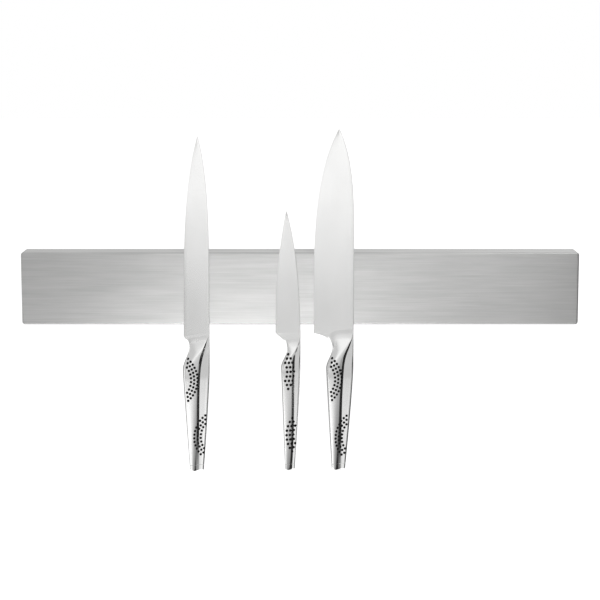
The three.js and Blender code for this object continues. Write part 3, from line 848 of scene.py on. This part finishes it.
FINISH = {
    "zinc_steel": zinc_plate(),
    "black_plastic": moulded("black_moulding", grey(0.012), grey(0.02)),
    "pale_plastic": moulded("pale_moulding", (0.62, 0.61, 0.56), (0.68, 0.67, 0.62)),
    "ferrite": ferrite(),
    "pad_rubber": rubber(),
    "fill_sand": packed_sand(),
    "cover_steel": STEEL_COVER,
    "blade_steel": STEEL_BLADE,
    "handle_steel": STEEL_HANDLE,
}
for row in frame["record"]["subparts"]:
    data = frame["nodes"][row["node"]].data
    data.materials.clear()
    data.materials.append(FINISH[row["material_slot"]])

# ---------------------------------------------------------------- studio

AIM = Vector((0, -0.03, -0.0113))
CAMERA = {"distance": 1.82, "elevation": 8.5, "lens": 110.6}


def direction(azimuth, elevation):
    """Unit vector from the object: azimuth 0 is straight out of the rack's face, + to the right."""
    a, e = math.radians(azimuth), math.radians(elevation)
    return Vector((math.sin(a) * math.cos(e), -math.cos(a) * math.cos(e), math.sin(e)))


def look_at(thing, target):
    """Turns a camera or lamp to face the target."""
    thing.rotation_euler = (target - thing.location).to_track_quat("-Z", "Y").to_euler()


def add_camera():
    """Long lens straight in front of the rack and a little above it."""
    data = bpy.data.cameras.new("camera")
    data.lens = CAMERA["lens"]
    camera = bpy.data.objects.new("camera", data)
    bpy.context.collection.objects.link(camera)
    camera.location = AIM + CAMERA["distance"] * direction(0, CAMERA["elevation"])
    look_at(camera, AIM)
    bpy.context.scene.camera = camera


def add_lamp(name, azimuth, elevation, distance, size, power, mirrored=True):
    """A soft box aimed at the rack; polished steel shows it only if it is mirrored."""
    data = bpy.data.lights.new(name, "AREA")
    data.shape = "RECTANGLE"
    data.size, data.size_y = size
    data.energy = power
    lamp = bpy.data.objects.new(name, data)
    bpy.context.collection.objects.link(lamp)
    lamp.location = AIM + distance * direction(azimuth, elevation)
    look_at(lamp, AIM)
    lamp.visible_glossy = mirrored


def seen_by_background_rays(tree):
    """1 for camera, mirror and glass rays, 0 for the rays that light the object."""
    path = tree.nodes.new("ShaderNodeLightPath")
    total = path.outputs["Is Camera Ray"]
    for name in ("Is Glossy Ray", "Is Transmission Ray"):
        most = tree.nodes.new("ShaderNodeMath")
        most.operation = "MAXIMUM"
        tree.links.new(total, most.inputs[0])
        tree.links.new(path.outputs[name], most.inputs[1])
        total = most.outputs["Value"]
    return total


def add_world(level):
    """White surroundings that light the object at the level only."""
    world = bpy.data.worlds.new("studio")
    world.use_nodes = True
    bpy.context.scene.world = world
    tree = world.node_tree
    background = tree.nodes["Background"]
    background.inputs["Color"].default_value = (1, 1, 1, 1)
    strength = tree.nodes.new("ShaderNodeMapRange")
    strength.inputs["To Min"].default_value = level
    strength.inputs["To Max"].default_value = 1
    tree.links.new(seen_by_background_rays(tree), strength.inputs["Value"])
    tree.links.new(strength.outputs["Result"], background.inputs["Strength"])


def add_floor(z, size):
    """Pale floor far below the rack: white to the eye, and the object's shadow falls on it."""
    bm = bmesh.new()
    half = size / 2
    bm.faces.new([bm.verts.new((x, y, z)) for x, y in
                  ((-half, -half), (half, -half), (half, half), (-half, half))])
    material = bpy.data.materials.new("floor_pale")
    material.use_nodes = True
    tree = material.node_tree
    shader = tree.nodes["Principled BSDF"]
    shader.inputs["Base Color"].default_value = (0.8, 0.8, 0.8, 1)
    shader.inputs["Roughness"].default_value = 0.9
    shader.inputs["Emission Color"].default_value = (1, 1, 1, 1)
    glow = tree.nodes.new("ShaderNodeMath")
    glow.operation = "MULTIPLY"
    glow.inputs[1].default_value = 0.7
    tree.links.new(seen_by_background_rays(tree), glow.inputs[0])
    tree.links.new(glow.outputs["Value"], shader.inputs["Emission Strength"])
    floor = new_object("floor", bm, [material])


def card_grid(radius, azimuths, elevations):
    """Patch of a sphere round the rack; its map holds azimuth and elevation in degrees."""
    bm = bmesh.new()
    uv = bm.loops.layers.uv.new("card")
    columns = steps(*azimuths, 6)
    rows = steps(*elevations, 6)
    grid = [[bm.verts.new(AIM + radius * direction(a, e)) for a in columns] for e in rows]
    for r in range(len(rows) - 1):
        for c in range(len(columns) - 1):
            corners = [(r, c), (r, c + 1), (r + 1, c + 1), (r + 1, c)]
            face = bm.faces.new([grid[i][j] for i, j in corners])
            for loop, (i, j) in zip(face.loops, corners):
                loop[uv].uv = (columns[j], rows[i])
    return bm


def card_cover(tree, azimuths, elevations, soft, density):
    """How much the card covers at a point: density in its middle, fading out at four edges."""
    uv_map = tree.nodes.new("ShaderNodeUVMap")
    uv_map.uv_map = "card"
    split = tree.nodes.new("ShaderNodeSeparateXYZ")
    tree.links.new(uv_map.outputs["UV"], split.inputs["Vector"])
    left, right, lower, upper = soft
    edges = [("X", azimuths[0], azimuths[0] + left), ("X", azimuths[1], azimuths[1] - right),
             ("Y", elevations[0], elevations[0] + lower),
             ("Y", elevations[1], elevations[1] - upper)]
    cover = None
    for axis, outside, inside in edges:
        fade = tree.nodes.new("ShaderNodeMapRange")
        fade.interpolation_type = "SMOOTHSTEP"
        fade.inputs["From Min"].default_value = min(outside, inside)
        fade.inputs["From Max"].default_value = max(outside, inside)
        fade.inputs["To Min"].default_value = 0 if outside < inside else 1
        fade.inputs["To Max"].default_value = 1 if outside < inside else 0
        tree.links.new(split.outputs[axis], fade.inputs["Value"])
        both = tree.nodes.new("ShaderNodeMath")
        both.operation = "MULTIPLY"
        both.inputs[1].default_value = density
        tree.links.new(fade.outputs["Result"], both.inputs[0])
        if cover is not None:
            tree.links.new(cover, both.inputs[1])
        cover = both.outputs["Value"]
    return cover


def add_flag(name, radius, azimuths, elevations, soft, shade, density=1.0):
    """A dark card round the rack that only reflections in the steel see."""
    material = bpy.data.materials.new(name)
    material.use_nodes = True
    tree = material.node_tree
    tree.nodes.clear()
    output = tree.nodes.new("ShaderNodeOutputMaterial")
    mix = tree.nodes.new("ShaderNodeMixShader")
    clear = tree.nodes.new("ShaderNodeBsdfTransparent")
    card = tree.nodes.new("ShaderNodeEmission")
    card.inputs["Color"].default_value = (*grey(shade), 1)
    cover = card_cover(tree, azimuths, elevations, soft, density)
    tree.links.new(cover, mix.inputs["Fac"])
    tree.links.new(clear.outputs["BSDF"], mix.inputs[1])
    tree.links.new(card.outputs["Emission"], mix.inputs[2])
    tree.links.new(mix.outputs["Shader"], output.inputs["Surface"])
    flag = new_object(name, card_grid(radius, azimuths, elevations), [material])
    for ray in ("camera", "diffuse", "transmission", "volume_scatter", "shadow"):
        setattr(flag, f"visible_{ray}", False)


# Name, radius in metres, azimuths, elevations and the widths of the left, right, lower and upper
# fades in degrees, grey level, and density where it is less than 1.
FLAGS = [
    ("flag_right", 1.6, (0, 120), (-85, 60), (50, 20, 5, 20), 0.35),
    ("flag_side", 1.55, (50, 130), (-85, 6), (22, 25, 5, 14), 0.02),
    ("flag_far_left", 1.6, (-160, -105), (-85, 60), (20, 20, 5, 20), 0.3),
    ("flag_back", 1.65, (125, 235), (-85, 2), (20, 20, 5, 14), 0.55),
    ("flag_neck", 1.6, (-105, -4), (3, 72), (15, 26, 8, 40), 0.62),
    ("near_low", 0.6, (-75, 75), (-26, 12), (10, 10, 12, 26), 0.6),
    ("near_right", 0.58, (28, 80), (-20, 40), (16, 10, 12, 15), 0.02),
    ("near_left", 0.56, (-80, -14), (-20, 8), (10, 32, 12, 12), 0.35, 0.7),
]

add_camera()
add_world(0.55)
add_floor(-1.35, 60)
add_lamp("key", 38, 34, 1.9, (0.9, 0.7), 22)
add_lamp("fill", -45, 25, 2.4, (1.4, 1.4), 14, mirrored=False)
add_lamp("low_front", -3, -30, 2, (0.5, 0.3), 6)
for flag in FLAGS:
    add_flag(*flag)

bpy.context.scene.view_settings.view_transform = "Standard"
